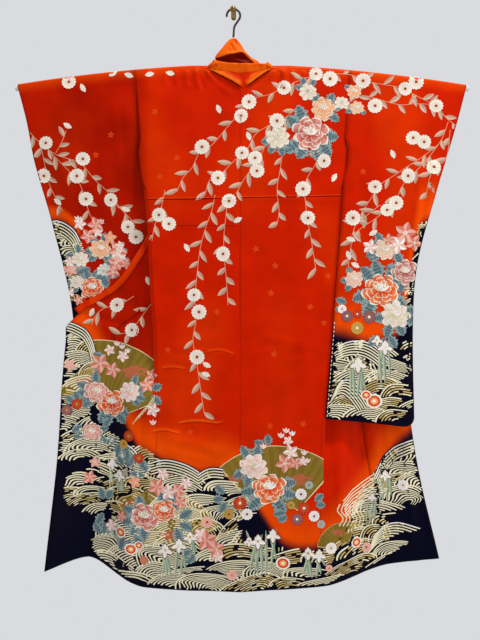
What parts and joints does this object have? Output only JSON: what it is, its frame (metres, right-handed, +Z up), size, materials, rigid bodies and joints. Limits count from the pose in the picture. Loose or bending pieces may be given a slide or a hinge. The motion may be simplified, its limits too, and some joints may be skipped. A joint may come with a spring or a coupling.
{
  "type": "furisode kimono on a kimono hanger with wall hook",
  "caption": "Long-sleeved formal kimono hung with its back outwards on a sloping hanger from a small wall hook, its fronts swung out to both sides.",
  "frame": {"origin": "middle of the wall hook's back plate, on the wall", "axes": "+Z up, +Y into the wall, +X to the right of someone who faces the garment's back"},
  "size_m": [1.3865, 0.1135, 1.8],
  "materials": {
    "silk": "satin",
    "lining": "satin",
    "hanger": "satin",
    "hook": "gloss",
    "thread": "matte",
    "brass": "polished"
  },
  "bodies": {
    "root": {"body_left": "silk", "body_right": "silk", "okumi_left": "silk", "okumi_right": "silk", "sleeve_left": "silk", "sleeve_right": "silk", "collar": "silk", "collar_inner": "silk", "hanger_arm_left": "hanger", "hanger_arm_right": "hanger", "hanger_hub": "hanger", "hanger_hook": "hook", "hanging_loop": "thread", "wall_plate": "brass", "wall_hook": "brass"}
  },
  "joints": []
}
